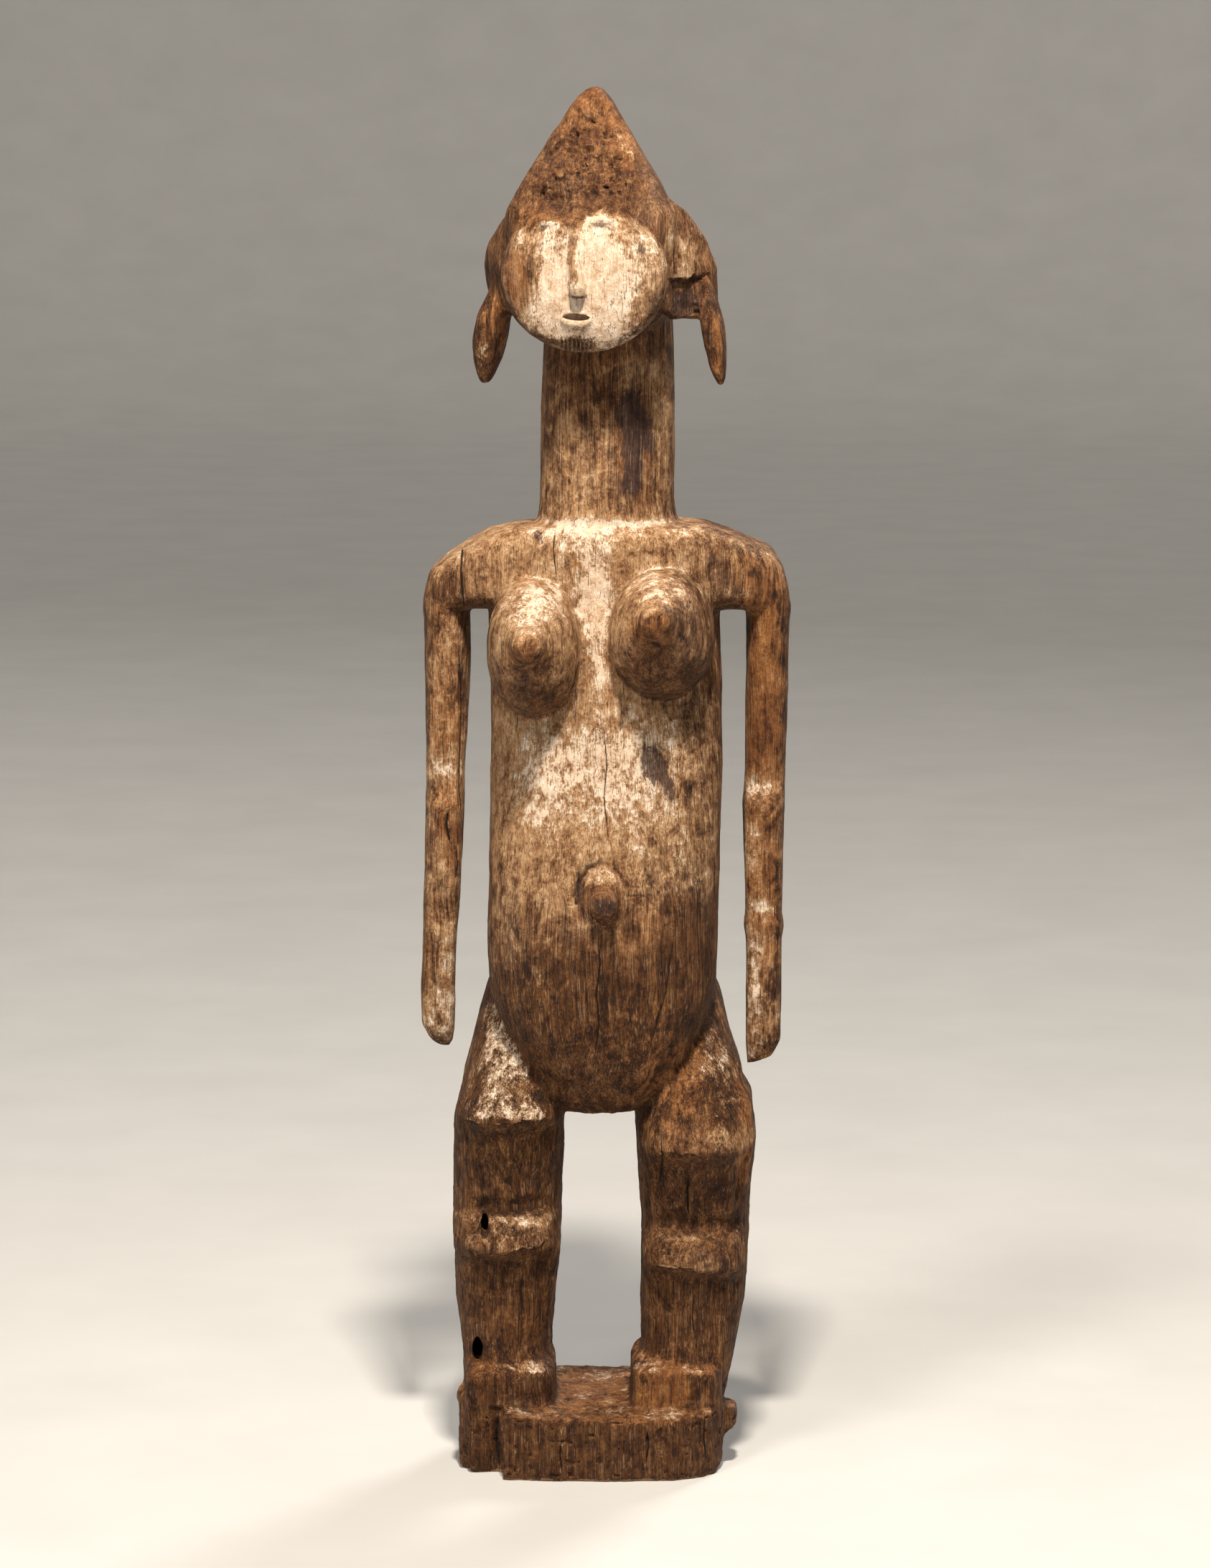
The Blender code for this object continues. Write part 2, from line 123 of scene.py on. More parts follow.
# Places that are rounder than the rest: shoulders, and where the breasts rise from the chest
ROUNDED_FORMS = (
    ((-112, 0, 668), (26, 60, 30)),
    ((112, 0, 668), (26, 60, 30)),
    ((-54, -95, 664), (34, 40, 16)),
    ((44, -95, 676), (34, 40, 16)),
)

# Cracks as lines in the front view, with their half-width and depth
CRACKS = (
    (((-5, 400), (-4, 380), (-6.5, 357), (-4.5, 335), (-8, 310)), 0.6, 1.7),
    (((49, 403), (46, 380), (43, 358), (36, 334), (30, 311)), 0.5, 1.4),
    (((-102, 678), (-103, 655), (-101, 630)), 1.0, 2.4),
    (((-105, 600), (-104, 560), (-106, 500), (-104, 470)), 0.5, 1.2),
    (((60, 221), (59, 208), (60, 190)), 0.9, 2.0),
    (((-36, 686), (-37, 672), (-35, 655)), 0.45, 1.0),
    (((-113, 482), (-115, 470), (-112, 456)), 1.0, 2.2),
    (((-108, 455), (-107, 440), (-109, 428)), 0.5, 1.2),
    (((-1, 545), (1, 522), (-1, 498), (2, 470)), 0.4, 0.8),
    (((-78, 44), (-79, 24), (-77, 2)), 1.0, 2.6),
    (((30, 38), (31, 25), (29, 14)), 0.7, 1.6),
    (((-32, 30), (-33, 20), (-31, 8)), 0.7, 1.6),
    (((72, 46), (71, 30), (73, 12)), 0.8, 1.8),
    (((40, 250), (41, 232), (39, 215)), 0.6, 1.4),
    (((-60, 150), (-61, 130), (-59, 112)), 0.45, 1.0),
    (((64, 130), (63, 112), (65, 98)), 0.5, 1.0),
)

# How far to each side of a crack, in millimetres, the material can draw it
CRACK_REACH = 7

# The groove arched over the navel, as a line in the front view
NAVEL_ARCH = ((-21, 424), (-20, 438), (-13, 449), (-4, 453), (8, 449), (15, 439), (17, 430))

# The two rotted pockets of one leg in the front view: centre, radii and how far they are drawn in
POCKETS = (
    ((-88, 183), (9, 13), 0.4),
    ((-92, 88), (9, 15), 0.15),
)

# Chipped edges across the legs: ends, height and slope, side broken back (1 is above), depth, fade
LEDGES = (
    (-104, -38, 262, 0.02, -1, 2.8, 30),
    (46, 102, 236, -0.1, -1, 2.4, 24),
    (-96, -42, 164, 0.2, -1, 3.0, 24),
    (38, 99, 150, -0.13, -1, 3.0, 24),
    (-96, -42, 191, 0.03, 1, 1.8, 14),
    (38, 99, 178, -0.05, 1, 1.8, 14),
)

# Patches in the front view, each a centre, radii and strength: where the pale coating lies,
# where it is worn off, where dark drips have soaked in and where the wood is a warm orange; a few
# worn and dark patches are painted shade and shadow: under the nose, below the breasts and in
# the right ear's recess
PATCH_SPREAD = 1.25
PALE_PLACES = (
    ((-6, 876), (9, 22), 0.5),
    ((-14, 836), (34, 14), 0.3),
    ((-36, 868), (9, 26), 0.3),
    ((8, 965), (3, 5), 0.85),
    ((13, 958), (3, 5), 0.85),
    ((18, 951), (3, 5), 0.85),
    ((-42.5, 905), (5, 2.5), 0.5),
    ((-3, 906), (6, 2.5), 0.5),
    ((-88, 811), (7, 17), 0.85),
    ((41, 748), (8, 42), 0.4),
    ((-28, 725), (16, 26), 0.15),
    ((57, 886), (8, 15), 0.45),
    ((46, 905), (3, 30), 0.5),
    ((54, 870), (8, 6), 0.4),
    ((-13, 917), (3, 11), 0.5),
    ((-62, 930), (3, 22), 0.4),
    ((-28, 715), (20, 24), 0.25),
    ((0, 691), (48, 2.5), 0.7),
    ((-10, 680), (46, 12), 0.3),
    ((-7, 640), (10, 24), 0.8),
    ((-4, 590), (9, 40), 0.4),
    ((-52, 640), (24, 14), 0.4),
    ((40, 655), (24, 12), 0.35),
    ((-20, 590), (20, 14), 0.2),
    ((0, 530), (46, 24), 0.35),
    ((5, 490), (50, 40), 0.3),
    ((-44, 500), (20, 40), 0.2),
    ((-3, 441), (9, 3), 0.5),
    ((-10, 450), (12, 8), 0.3),
    ((-4, 410), (16, 4), 0.4),
    ((-50, 370), (16, 30), 0.15),
    ((-64, 184), (24, 6), 0.2),
    ((-116, 512), (10, 8), 0.5),
    ((-116, 600), (7, 34), 0.25),
    ((-114, 372), (8, 34), 0.35),
    ((110, 497), (12, 8), 0.5),
    ((111, 410), (14, 3.5), 0.5),
    ((108, 368), (9, 32), 0.5),
    ((106, 450), (9, 30), 0.25),
    ((-104, 24), (9, 20), 0.3),
    ((-36, 16), (14, 8), 0.3),
)
BARE_AND_SHADOW_PLACES = (
    ((-1, 431), (10, 9), 1.0),
    ((-24, 868), (2.5, 14), 0.5),
    ((-72, 880), (6, 30), 0.35),
    ((42, 856), (7, 22), 0.4),
    ((-63, 866), (9, 18), 0.75),
    ((-50, 914), (12, 8), 0.4),
    ((30, 846), (15, 10), 0.5),
    ((24, 908), (14, 8), 0.3),
    ((-30, 822), (18, 3), 0.4),
    ((-23, 886), (1.4, 14), 0.6),
    ((-20.5, 866), (1.8, 9), 0.6),
    # Less coating in the right ear's recess: browner wood with painted shade
    ((58, 840), (16, 5), 0.5),
    ((60, 848), (14, 12), 0.4),
    ((-57, 604), (14, 9), 0.5),
    ((34, 616), (15, 12), 0.6),
    # Less coating below the breasts: painted shadows cast by them
    ((-62, 576), (30, 12), 0.2),
    ((40, 586), (30, 12), 0.2),
    ((45, 400), (22, 30), 0.15),
    ((10, 320), (50, 30), 0.15),
)
STAIN_AND_SHADE_PLACES = (
    ((15, 772), (7, 9), 1.0),
    ((21, 756), (8, 15), 1.2),
    ((20, 728), (6, 18), 1.05),
    ((34, 740), (2.5, 24), 0.6),
    ((9, 712), (2.5, 12), 0.4),
    # Painted shade under the nose tip
    ((-19.5, 854), (5, 1.6), 1.0),
    ((-1, 425), (8, 7), 0.9),
    ((-18, 441), (2.2, 10), 0.5),
    ((-20, 431), (1.8, 9), 0.5),
    ((31, 530), (8, 9), 0.75),
    ((38, 514), (8, 10), 0.7),
    ((47, 500), (4, 9), 0.5),
    ((30, 497), (3, 6), 0.35),
    ((-48, 682), (5, 7), 0.65),
    ((-28, 664), (4, 14), 0.5),
    ((-22, 560), (5, 22), 0.5),
    ((12, 552), (5, 22), 0.45),
    ((-24, 620), (6, 12), 0.35),
    ((-30, 440), (8, 20), 0.3),
    ((20, 428), (5, 6), 0.45),
    ((25, 887), (4, 5), 0.7),
    ((22, 905), (3, 16), 0.35),
    ((-24, 934), (20, 10), 0.5),
    ((-36, 919), (14, 6), 0.5),
    ((-112, 462), (6, 16), 0.5),
    # Painted shade under the right breast
    ((34, 604), (16, 8), 0.35),
    # Painted shade in the right ear's recess, on browner wood
    ((58, 848), (12, 10), 0.8),
    ((6, 902), (6, 2), 0.2),
    ((-22, 285), (9, 18), 0.3),
    ((26, 350), (12, 26), 0.2),
    ((20, 12), (30, 12), 0.4),
    ((-52, 22), (16, 14), 0.25),
)
WARM_PLACES = (
    ((-14, 972), (26, 26), 0.6),
    ((-62, 866), (9, 17), 0.8),
    ((-50, 908), (10, 8), 0.4),
    ((44, 62), (9, 12), 0.8),
    ((-113, 470), (6, 34), 0.6),
    ((-116, 570), (9, 60), 0.5),
    ((-57, 610), (12, 10), 0.6),
    ((34, 624), (12, 10), 0.6),
    ((112, 540), (12, 100), 0.7),
    ((110, 400), (12, 50), 0.3),
    ((-12, 682), (16, 16), 0.35),
    ((-22, 508), (10, 8), 0.3),
    ((60, 300), (24, 30), 0.3),
    ((102, 240), (6, 40), 0.7),
    ((80, 820), (8, 26), 0.5),
    ((13, 958), (9, 14), 0.6),
    ((-76, 830), (8, 14), 0.4),
    ((0, 55), (44, 8), 0.55),
)


def cell_values(cells, seed):
    """One value from 0 to 1 for each whole-numbered cell, always the same for the same cell."""
    steps = np.array([73856093, 19349663, 83492791], np.int64)
    mixed = ((cells.astype(np.int64) * steps).sum(axis=1) + seed * 2654435761).astype(np.uint64)
    mixed ^= mixed >> np.uint64(31)
    mixed *= np.uint64(0x9E3779B97F4A7C15)
    mixed ^= mixed >> np.uint64(29)
    mixed *= np.uint64(0xBF58476D1CE4E5B9)
    mixed ^= mixed >> np.uint64(32)
    return (mixed & np.uint64(0xFFFFFF)).astype(float) / 0xFFFFFF


def noise(points, seed):
    """Smooth noise from -1 to 1, with features one unit across."""
    cell = np.floor(points)
    t = points - cell
    t = t * t * (3 - 2 * t)
    total = np.zeros(len(points))
    for corner in itertools.product((0, 1), repeat=3):
        weight = np.prod(np.where(corner, t, 1 - t), axis=1)
        total += weight * cell_values(cell + corner, seed)
    return 2 * total - 1


def fractal(points, size, seed, octaves=3):
    """Noise of several octaves from -1 to 1; size is the largest feature, or one size an axis."""
    points = points / np.array(size, float)
    total, share, whole = np.zeros(len(points)), 1.0, 0.0
    for octave in range(octaves):
        total += share * noise(points * 2**octave + 17.3 * octave, seed + octave)
        whole += share
        share /= 2
    return total / whole


def scoops(points, size, seed):
    """Squared distance to the nearest of scattered centres, one to a cell of this size."""
    points = points / np.array(size, float)
    cell = np.floor(points)
    nearest = np.full(len(points), 9.0)
    for step in itertools.product((-1, 0, 1), repeat=3):
        corner = cell + step
        centre = corner + np.stack([cell_values(corner, seed + axis) for axis in range(3)], axis=1)
        nearest = np.minimum(nearest, ((points - centre) ** 2).sum(axis=1))
    return nearest


def ramp(values, start, end):
    """0 before start and 1 after end, with a smooth rise between them."""
    t = np.clip((values - start) / (end - start), 0, 1)
    return t * t * (3 - 2 * t)


def band(values, low, high, edge):
    """1 between low and high and 0 beyond them, with a smooth step of this half-width at each."""
    return ramp(values, low - edge, low + edge) * (1 - ramp(values, high - edge, high + edge))


def spot(points, centre, radii):
    """1 at the centre, falling smoothly to nothing at about twice the radii."""
    away = (points - np.array(centre, float)) / np.array(radii, float)
    return np.exp(-(away**2).sum(axis=1))


def front_spot(points, centre, radii):
    """The same in the front view, at any depth."""
    return spot(points[:, [0, 2]], centre, radii)


def front_distance(points, line):
    """Distance in the front view to a line of (x, z) points, and how far along it from 0 to 1."""
    flat = points[:, [0, 2]]
    nearest = np.full(len(points), 1e6)
    along = np.zeros(len(points))
    line = np.array(line, float)
    for n, (start, end) in enumerate(zip(line, line[1:])):
        span = end - start
        share = np.clip(((flat - start) @ span) / (span @ span), 0, 1)
        away = np.linalg.norm(flat - start - share[:, None] * span, axis=1)
        closer = away < nearest
        nearest[closer] = away[closer]
        along[closer] = (n + share[closer]) / (len(line) - 1)
    return nearest, along


class Surface:
    """The carving's points in millimetres, its normals and the regions they lie in."""

    def __init__(self, points, normals):
        self.points, self.normals = points, normals
        x, y, z = points.T
        self.front = ramp(-normals[:, 1], 0.05, 0.5)
        self.base = 1 - ramp(z, BASE_TOP - 4, BASE_TOP + 3)
        self.legs = band(z, BASE_TOP, CROTCH + 25, 12)
        self.arms = ramp(np.abs(x), TRUNK_HALF_WIDTH + 9, TRUNK_HALF_WIDTH + 14)
        self.arms *= band(z, ARM_BOTTOM, ARM_TOP, 12)
        self.trunk = band(z, CROTCH, SHOULDER_TOP, 12) * (1 - self.arms)
        self.neck = band(z, SHOULDER_TOP, CHIN - 10, 8) * (1 - ramp(np.abs(x), 50, 58))
        self.head = ramp(z, CHIN - 35, CHIN - 20) * (1 - self.neck)
        rough = fractal(points, 16, 145)
        self.brow = BROW + 6 * ramp(x, -24, -10) - 6 * ramp(x, 14, 34) + 9 * rough
        aside, up = (x - FACE_CENTRE[0]) / FACE_RADII[0], (z - FACE_CENTRE[1]) / FACE_RADII[1]
        plate = aside**2 + up**2 + 0.1 * rough
        on_plate = ramp(-y - 0.23 * x, 62, 72) * (1 - ramp(plate, 0.88, 1.04))
        below_brow = 1 - ramp(z, self.brow - 6, self.brow + 2)
        self.face = on_plate * ramp(z, CHIN - 14, CHIN) * below_brow
        forehead = 1.6 * front_spot(points, (-26, 936), (30, 24))
        forehead += 0.9 * front_spot(points, (-10, 962), (24, 24))
        forehead += 0.5 * front_spot(points, (12, 936), (20, 20)) + 0.25 * fractal(points, 14, 141)
        self.forehead = np.clip(forehead, 0, 1) * self.front * ramp(z, self.brow - 4, self.brow + 4)


def crack_depth(surface):
    """Grooves along the cracks, shallower towards their ends."""
    depth = np.zeros(len(surface.points))
    for line, half_width, deep in CRACKS:
        away, along = front_distance(surface.points, line)
        taper = np.clip(np.minimum(along, 1 - along) * 5, 0.15, 1)
        depth = np.maximum(depth, deep * taper * np.exp(-((away / (half_width + 0.5)) ** 2)))
    return depth * surface.front


def crack_lines(surface):
    """Signed sideways distance to the nearest crack's middle line, and 1 close to a crack."""
    p = surface.points
    side = np.full(len(p), 9.0)
    near = np.zeros(len(p))
    for line, half_width, _ in CRACKS:
        line = sorted(line, key=lambda place: place[1])
        heights = [place[1] for place in line]
        away = p[:, 0] - np.interp(p[:, 2], heights, [place[0] for place in line])
        low, high = heights[0] - 1, heights[-1] + 1
        here = (np.abs(away) < CRACK_REACH) & (p[:, 2] > low) & (p[:, 2] < high)
        middle = (p[:, 2] - heights[0]) / max(heights[-1] - heights[0], 1)
        narrow = half_width * np.clip(np.minimum(middle, 1 - middle) * 6, 0.2, 1)
        side[here] = (away / np.maximum(narrow, 0.1))[here]
        near[here] = 1
    return np.clip(side, -9, 9), near * surface.front


def grain_depth(surface):
    """Open grooves along the log, shallow where the knife's finish is kept."""
    wide = fractal(surface.points, (8, 8, 120), 3, octaves=2)
    narrow = fractal(surface.points, (3.2, 3.2, 60), 9, octaves=2)
    groove = np.abs(wide) * 0.5 + np.abs(narrow) * 0.7
    strength = 0.28 + 0.6 * surface.legs + surface.base + 0.2 * surface.neck - 0.16 * surface.face
    return (0.62 - groove) * strength


def tool_depth(surface):
    """Shallow scoops of the adze, longer along the grain."""
    strength = 0.45 * surface.trunk + 0.4 * surface.neck + 0.6 * surface.arms + 0.35 * surface.head
    strength = strength * (1 - surface.face) + 0.6 * surface.legs + 0.12 * surface.face
    return strength * (0.75 - scoops(surface.points, (15, 15, 30), 21)) * 1.5


def rot_depth(surface):
    """What rot and insects ate: the forehead, the base and the lower legs."""
    p = surface.points
    rough = fractal(p, (11, 11, 9), 31, octaves=4)
    pits = ramp(fractal(p, 5, 41, octaves=2), 0.32, 0.65)
    crumbs = fractal(p, 4.5, 45, octaves=2)
    forehead = surface.forehead * (1.6 + 5.0 * rough + 2.0 * pits + 1.8 * crumbs)
    hollow = 3.2 * front_spot(p, (-34, 920), (15, 8)) + 2.2 * front_spot(p, (-10, 922), (10, 9))
    base = surface.base * (1 + 2.6 * fractal(p, (12, 12, 60), 51) + 1.3 * pits + 0.6 * crumbs)
    legs = surface.legs * (0.45 * pits + 0.9 * fractal(p, (13, 13, 40), 55) + 0.3 * crumbs)
    skin = 0.2 * fractal(p, 12, 71) + 0.14 * pits * (1 - 0.7 * surface.face)
    return np.maximum(forehead, 0) + hollow * surface.front + np.maximum(base, -0.4) + legs + skin


def face_depth(surface):
    """The face: sunk round the eyes and cheeks, raised at the eyes, the lower lip and the nose."""
    p = surface.points
    x, _, z = p.T
    crust = 1 + 1.1 * fractal(p, 3.6, 91, octaves=2)
    eyes = front_spot(p, (-42.5, 905), (8.5, 3)) + front_spot(p, (-3, 906), (9, 3))
    sockets = front_spot(p, (-42.5, 903), (11, 6.5)) + front_spot(p, (-3, 904), (11, 6.5))
    lip = front_spot(p, (-21, 833), (10, 2.5)) * (crust - 0.6)
    down = np.clip((NOSE_TOP - z) / 46, 0, 1)
    aside = x - (-22.5 + 5 * down)
    aside = np.where(aside > 0, aside / (1.6 + 2.8 * down), -aside / (3.4 + 3.8 * down))
    nose = np.clip(1.25 - aside, 0, 1) * (1 + 1.7 * down)
    nose = nose * ramp(z, 854.4, 856.2) * (1 - ramp(z, 900, 908))
    cheeks = front_spot(p, (-36, 880), (8, 18)) + 0.7 * front_spot(p, (-6, 880), (9, 18))
    return sockets - 2.8 * eyes * crust - 1.2 * lip - nose + cheeks


def navel_depth(surface):
    """The groove arched over the navel, the hollow inside it and the rise of the knob."""
    p = surface.points
    away, _ = front_distance(p, NAVEL_ARCH)
    groove = np.exp(-((away / 1.5) ** 2)) * (1 + ramp(-p[:, 0], 0, 14))
    groove = groove * surface.front * band(p[:, 2], 420, 460, 3)
    hollow = 2.6 * front_spot(p, (-2, 446), (13, 6)) - front_spot(p, (-1, 430), (8, 7))
    return groove + hollow * surface.front


def carved_depth(surface):
    """The knife's small carving: chin strokes, face, navel, marks beside it and the breastbone."""
    p = surface.points
    x, _, z = p.T
    strokes = np.cos((x + 19) * 2 * math.pi / STROKE_SPACING) * 0.5 + 0.5
    chin = strokes * band(x, STROKES_LEFT, STROKES_RIGHT, 1) * band(z, CHIN + 1, CHIN + 9, 2.5)
    chin = chin * surface.front
    lattice = np.maximum(np.cos(x * 2 * math.pi / 5.5), np.cos(z * 2 * math.pi / 6.5)) ** 8
    beside = band(np.abs(x), 19, 28, 1) * band(z, 418, 438, 2) * surface.front
    breastbone = np.exp(-(((x + 4) / 6) ** 2)) * band(z, 480, 655, 20)
    breastbone = breastbone * (0.8 + 0.6 * fractal(p, 9, 97))
    depth = chin + face_depth(surface) * surface.front + navel_depth(surface)
    return depth + 0.5 * lattice * beside - 1.5 * breastbone * surface.front


def ear_depth(surface):
    """The undercut below the right ear's ragged front facet."""
    p = surface.points
    x, _, z = p.T
    edge = 866 + 3.5 * fractal(p, (7, 7, 7), 83) + 0.1 * (x - 58)
    inside = band(x, 46, 73, 4) * (1 - ramp(z, edge - 1.5, edge + 1.5)) * ramp(z, 832, 846)
    return (4.0 + fractal(p, 8, 85)) * inside * surface.front


def ledge_depth(surface):
    """Wood broken back below each thigh and kneecap, and cut in above each kneecap."""
    p = surface.points
    x, _, z = p.T
    chipping = 4.5 * fractal(p, (10, 10, 14), 151) + 1.5 * fractal(p, 3.5, 155, octaves=2)
    depth = np.zeros(len(p))
    for left, right, height, slope, side, deep, fade in LEDGES:
        over = side * (z - height - slope * (x - (left + right) / 2) - chipping)
        broken = deep * band(x, left, right, 3) * ramp(over, -0.8, 0.8)
        depth += broken * (1 - ramp(over, fade / 3, fade))
    return depth * surface.front


def splinter_depth(surface):
    """A strip of wood that has sprung up along the outer side of one hip."""
    p = surface.points
    x, y, z = p.T
    strip = ramp(x, 94, 100) * band(z, 205, 300, 4) * band(y, -45, -20, 3)
    gap = ramp(x, 90, 98) * band(z, 200, 302, 4) * (band(y, -19, -15, 2) + band(y, -50, -46, 2))
    return 3 * gap - strip


def ragged(surface, sharp):
    """Wandering that takes the ruler-straightness out of the carved edges."""
    p = surface.points
    broad = np.stack([fractal(p, 75, 101 + n, octaves=2) for n in range(3)], axis=1)
    close = np.stack([fractal(p, (14, 14, 18), 111 + n) for n in range(3)], axis=1)
    calm = 1 - 0.6 * np.maximum(surface.face, surface.arms)
    close = close * (0.8 + 1.4 * sharp * (surface.legs + surface.base))[:, None]
    return (broad * (1.2, 0.9, 1.6) + close * (0.7, 0.6, 1.7)) * calm[:, None]


def pocket_shift(points):
    """Sideways shift that draws the two rotted pockets of one leg in to narrow slits."""
    x, _, z = points.T
    shift = np.zeros(len(points))
    for (middle, height), (wide, tall), drawn in POCKETS:
        drawn = drawn + 0.4 * ramp(z, height + 2, height + 12)
        away = ((x - middle) / wide) ** 4 + ((z - height) / tall) ** 4
        shift -= (x - middle) * drawn * np.exp(-away)
    shift += 1.4 * fractal(points, 6, 131) * front_spot(points, (-90, 135), (12, 80))
    return shift


def read_points(mesh):
    """The mesh's points in millimetres."""
    points = np.empty(len(mesh.vertices) * 3, np.float32)
    mesh.vertices.foreach_get("co", points)
    return points.reshape(-1, 3).astype(float) / MM


def write_points(mesh, points):
    """Puts the mesh's points where these are, in millimetres."""
    mesh.vertices.foreach_set("co", (points * MM).astype(np.float32).ravel())
    mesh.update()


def read_normals(mesh):
    """The unit normal at each point."""
    normals = np.empty(len(mesh.vertices) * 3, np.float32)
    mesh.vertex_normals.foreach_get("vector", normals)
    return normals.reshape(-1, 3).astype(float)


def read_edges(mesh):
    """The two points' numbers of each edge."""
    edges = np.empty(len(mesh.edges) * 2, np.int32)
    mesh.edges.foreach_get("vertices", edges)
    return edges.reshape(-1, 2)


def softened(values, edges, rounds):
    """The values after each has moved halfway to its neighbours' middle, round by round."""
    count = np.bincount(edges.ravel(), minlength=len(values))
    ends, others = np.concatenate([edges, edges[:, ::-1]]).T
    for _ in range(rounds):
        values = 0.5 * (values + np.bincount(ends, values[others], len(values)) / count)
    return values


def smooth_points(thing, rounds):
    """Where the object's points would be after this many rounds of smoothing."""
    modifier = thing.modifiers.new("smooth", "SMOOTH")
    modifier.factor, modifier.iterations = 0.5, rounds
    bpy.context.view_layer.update()
    shown = thing.evaluated_get(bpy.context.evaluated_depsgraph_get())
    points = read_points(shown.to_mesh())
    shown.to_mesh_clear()
    thing.modifiers.remove(modifier)
    return points


def strongest(points, forms):
    """1 inside any of these forms, falling smoothly to 0 outside."""
    return np.clip(1.4 * np.max([spot(points, *form) for form in forms], axis=0), 0, 1)


def rounded_form(thing):
    """The form without the solid's facets but with its carved edges, and where those edges are."""
    points = read_points(thing.data)
    kept = strongest(points, KEPT_FORMS)
    rounder = strongest(points, ROUNDED_FORMS)
    crisp = points + (1 - 0.8 * kept)[:, None] * (smooth_points(thing, CRISP_ROUNDS) - points)
    soft = smooth_points(thing, SOFT_ROUNDS)
    away = np.linalg.norm(soft - crisp, axis=1)
    sharp = np.maximum(ramp(away, 0.5, 1.1) * (1 - rounder), kept)
    sharp = softened(sharp, read_edges(thing.data), 4)
    soft += rounder[:, None] * (smooth_points(thing, ROUND_ROUNDS) - soft)
    return soft + sharp[:, None] * (crisp - soft), sharp


def with_modifier(thing, kind, **settings):
    """Gives the object the mesh that one modifier makes of it."""
    modifier = thing.modifiers.new(kind.lower(), kind)
    for name, value in settings.items():
        setattr(modifier, name, value)
    bpy.context.view_layer.update()
    shown = thing.evaluated_get(bpy.context.evaluated_depsgraph_get())
    mesh = bpy.data.meshes.new_from_object(shown)
    thing.modifiers.remove(modifier)
    thing.data = mesh


def hollowness(thing, rounds, scale):
    """0.5 on a flat place, towards 1 in a hollow and towards 0 on an edge."""
    away = smooth_points(thing, rounds) - read_points(thing.data)
    return np.clip(0.5 + (away * read_normals(thing.data)).sum(axis=1) / scale, 0, 1)


def make_carving():
    """The solid's form at a fine scale, weathered, as one mesh."""
    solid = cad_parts["figure"]
    low, high = (np.array(corner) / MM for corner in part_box("figure"))
    carving = bpy.data.objects.new("carving", solid.data.copy())
    bpy.context.scene.collection.objects.link(carving)
    with_modifier(carving, "REMESH", mode="VOXEL", voxel_size=VOXEL * MM)
    mesh = carving.data
    points, sharp = rounded_form(carving)
    points[:, 0] += pocket_shift(points)
    write_points(mesh, points)
    wander = ragged(Surface(points, read_normals(mesh)), sharp)
    wander[:, 2] *= ramp(points[:, 2], *UNDERSIDE_FADE)
    points = points + wander
    write_points(mesh, points)
    surface = Surface(points, read_normals(mesh))
    edge = np.clip(0.5 - hollowness(carving, 10, 3.0), 0, 0.5)
    chips = edge * ramp(fractal(points, 9, 121, octaves=2), -0.2, 0.4) * (1 - surface.face) * 5
    depth = chips + grain_depth(surface) + tool_depth(surface) + rot_depth(surface)
    depth += carved_depth(surface)
    broken = crack_depth(surface) + ear_depth(surface) + ledge_depth(surface)
    depth += broken + splinter_depth(surface)
    move = -surface.normals * depth[:, None]
    move[:, 2] *= ramp(points[:, 2], *UNDERSIDE_FADE)
    points = points + move
    points[:, 2] = np.where(points[:, 2] < FLAT_BELOW, 0, points[:, 2])
    write_points(mesh, np.clip(points, low, high))
    triangles = sum(len(face.vertices) - 2 for face in mesh.polygons)
    with_modifier(carving, "DECIMATE", ratio=min(1, MOST_TRIANGLES / triangles))
    return carving


def placed(surface, places):
    """The strength of all these patches at each point, on the surfaces that face the front."""
    total = np.zeros(len(surface.points))
    for centre, (wide, tall), strength in places:
        radii = wide * PATCH_SPREAD, tall * PATCH_SPREAD
        total += strength * front_spot(surface.points, centre, radii)
    return total * (0.25 + 0.75 * surface.front)


def keep_value(mesh, name, values):
    """Stores one number on each point, under a name that the material reads."""
    attribute = mesh.attributes.new(name, "FLOAT", "POINT")
    attribute.data.foreach_set("value", np.asarray(values, np.float32))


